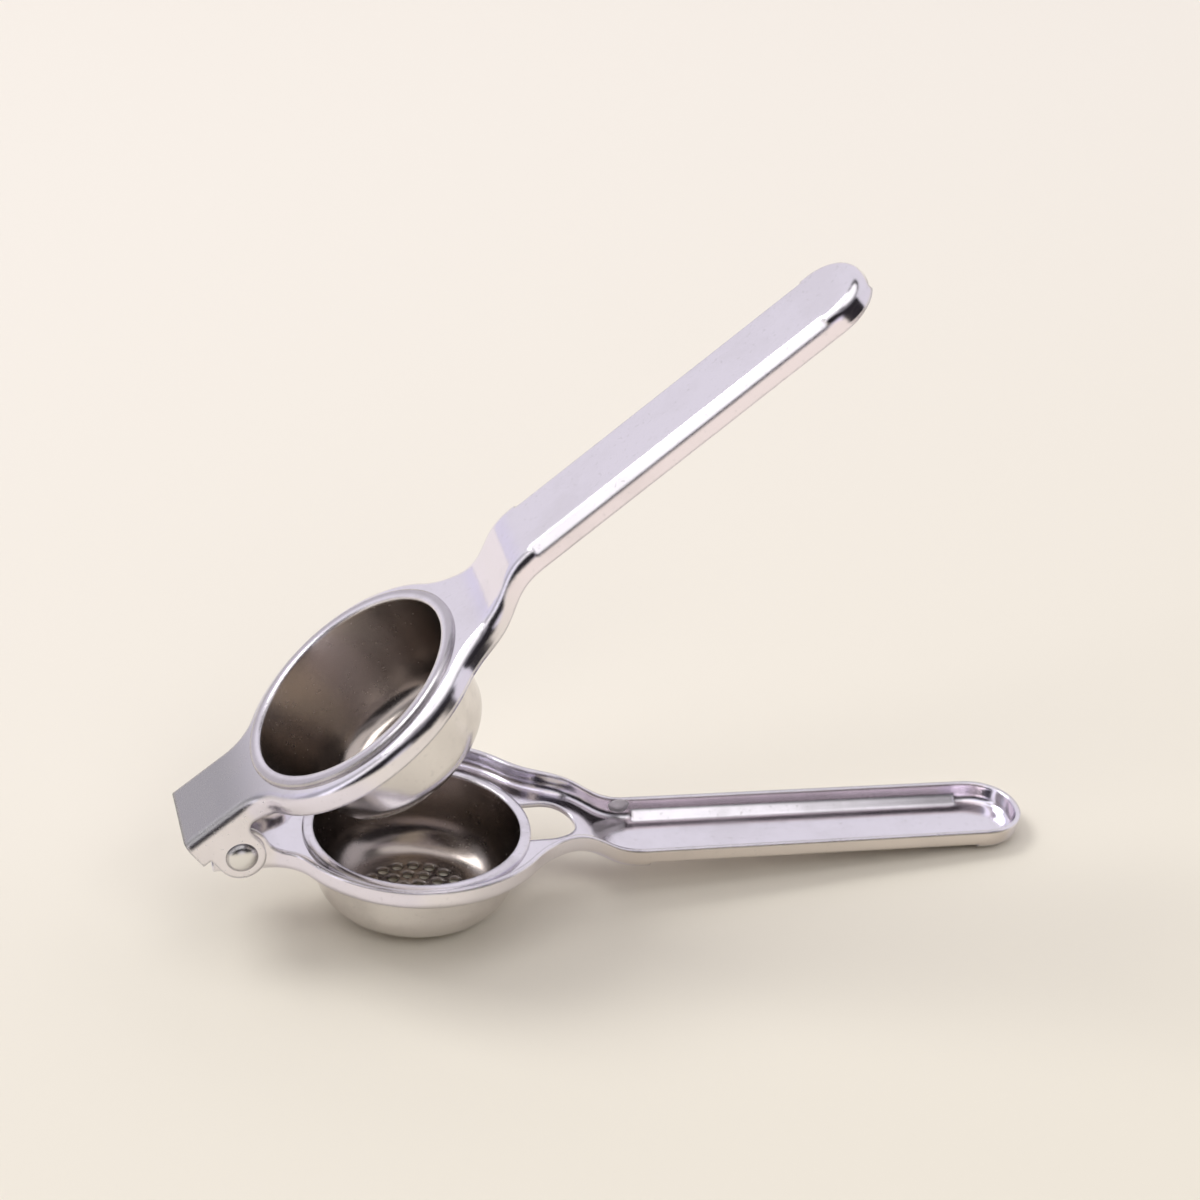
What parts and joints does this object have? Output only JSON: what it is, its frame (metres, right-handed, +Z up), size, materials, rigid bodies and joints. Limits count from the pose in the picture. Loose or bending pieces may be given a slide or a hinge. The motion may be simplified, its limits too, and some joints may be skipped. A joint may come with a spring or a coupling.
{
  "type": "lemon squeezer",
  "caption": "Hinged hand squeezer of polished steel: a solid press cup on one lever swings down into a drilled strainer cup on the other.",
  "frame": {"origin": "on the surface the squeezer stands on, at the middle of its length and midway between the ears", "axes": "+X from the hinge towards the handle tips, +Y along the rivet axis to the far side, +Z up"},
  "size_m": [0.213, 0.0676, 0.1608],
  "materials": {
    "lever_steel": "polished stainless sheet",
    "cup_steel": "polished drawn stainless",
    "rivet_steel": "satin stainless"
  },
  "bodies": {
    "lower": {"lower_lever": "lever_steel", "strainer_cup": "cup_steel", "near_rivet": "rivet_steel", "far_rivet": "rivet_steel"},
    "upper": {"upper_lever": "lever_steel", "press_cup": "cup_steel"}
  },
  "joints": [
    {"name": "squeeze", "type": "hinge", "parent": "lower", "child": "upper", "pos_m": [-0.09309, 0, 0.02764], "axis": [0, -1, 0], "range_deg": [-42.4, 134]}
  ]
}
